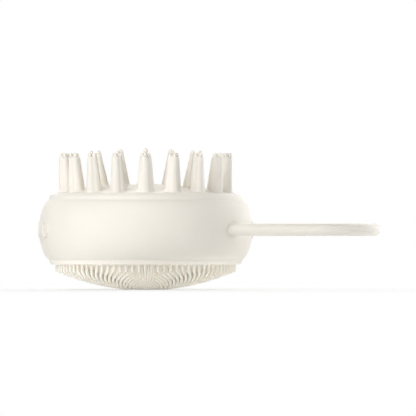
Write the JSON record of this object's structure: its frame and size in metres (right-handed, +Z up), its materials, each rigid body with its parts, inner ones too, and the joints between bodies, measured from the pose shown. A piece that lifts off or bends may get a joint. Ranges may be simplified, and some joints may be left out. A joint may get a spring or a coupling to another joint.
{
  "type": "electric scalp massager",
  "caption": "Two-sided handheld massager: domed face of long scalp prongs above, fine bristle brush below, round padded body, side keys, charging flap and a hanging loop.",
  "frame": {"origin": "on the body's axis, in the plane of the lowest bristle tips, on which the object stands", "axes": "+Z up through the prong face, +X from the body's axis towards the hanging loop, -X towards the three keys"},
  "size_m": [0.1445, 0.09, 0.0598],
  "materials": {
    "sleeve_silicone": "satin ivory silicone",
    "prong_silicone": "satin ivory silicone",
    "bristle_silicone": "satin ivory silicone",
    "loop_silicone": "satin ivory silicone",
    "key_silicone": "satin ivory silicone",
    "shell_plastic": "moulded, lightly grained",
    "seal_rubber": "matt black",
    "steel": "zinc plated",
    "motor_steel": "drawn steel",
    "magnet_ferrite": "sintered ferrite",
    "black_plastic": "moulded",
    "bronze": "sintered bronze",
    "copper": "enamelled windings",
    "switch_metal": "stamped",
    "board_green": "solder mask",
    "ribbon_film": "amber film",
    "chip_black": "moulded",
    "plug_plastic": "moulded",
    "cell_wrap": "heat-shrink wrap",
    "foam": "open cell foam",
    "lead_red": "insulated wire",
    "lead_blue": "insulated wire",
    "lead_black": "insulated wire"
  },
  "bodies": {
    "case": {"side_sleeve": "sleeve_silicone", "prong_pad": "prong_silicone", "brush_pad": "bristle_silicone", "upper_shell": "shell_plastic", "lower_shell": "shell_plastic", "seal_ring": "seal_rubber", "hanging_loop": "loop_silicone", "loop_grommets": "sleeve_silicone", "loop_washers": "steel", "key_switches": "switch_metal", "key_board": "board_green", "key_ribbon": "ribbon_film", "cover_pin": "steel", "charge_socket": "black_plastic", "socket_seal": "seal_rubber", "socket_lead": "lead_black", "chassis": "shell_plastic", "motor_can": "motor_steel", "motor_end_cap": "black_plastic", "motor_bush": "bronze", "motor_magnets": "magnet_ferrite", "motor_cushion": "seal_rubber", "motor_clamp": "shell_plastic", "motor_lead": "lead_blue", "battery_cell": "cell_wrap", "battery_pad": "foam", "battery_clamp": "shell_plastic", "battery_lead": "lead_red", "circuit_board": "board_green", "board_parts": "chip_black", "lead_plugs": "plug_plastic", "case_screws": "steel", "chassis_screws": "steel", "clamp_screws": "steel", "board_screws": "steel"},
    "power_key": {"power_button": "key_silicone", "power_plunger": "black_plastic"},
    "minus_key": {"minus_button": "key_silicone", "minus_plunger": "black_plastic"},
    "plus_key": {"plus_button": "key_silicone", "plus_plunger": "black_plastic"},
    "rotor": {"motor_shaft": "steel", "motor_armature": "copper", "eccentric_weight": "motor_steel"},
    "cover": {"port_cover": "key_silicone"}
  },
  "joints": [
    {"name": "power_press", "type": "slide", "parent": "case", "child": "power_key", "axis": [1, 0, 0], "range_m": [0, 0.0006], "stiffness_N_per_m": 2000},
    {"name": "minus_press", "type": "slide", "parent": "case", "child": "minus_key", "axis": [0.9397, 0.342, 0], "range_m": [0, 0.0006], "stiffness_N_per_m": 2000},
    {"name": "plus_press", "type": "slide", "parent": "case", "child": "plus_key", "axis": [0.9397, -0.342, 0], "range_m": [0, 0.0006], "stiffness_N_per_m": 2000},
    {"name": "motor_spin", "type": "hinge", "parent": "case", "child": "rotor", "pos_m": [0.0125, 0, 0.0263], "axis": [0, -1, 0], "continuous": true},
    {"name": "cover_open", "type": "hinge", "parent": "case", "child": "cover", "pos_m": [0.04455, 0.0047, 0.0253], "axis": [0, 0, 1], "range_deg": [0, 100], "stiffness_Nm_per_rad": 0.002}
  ]
}
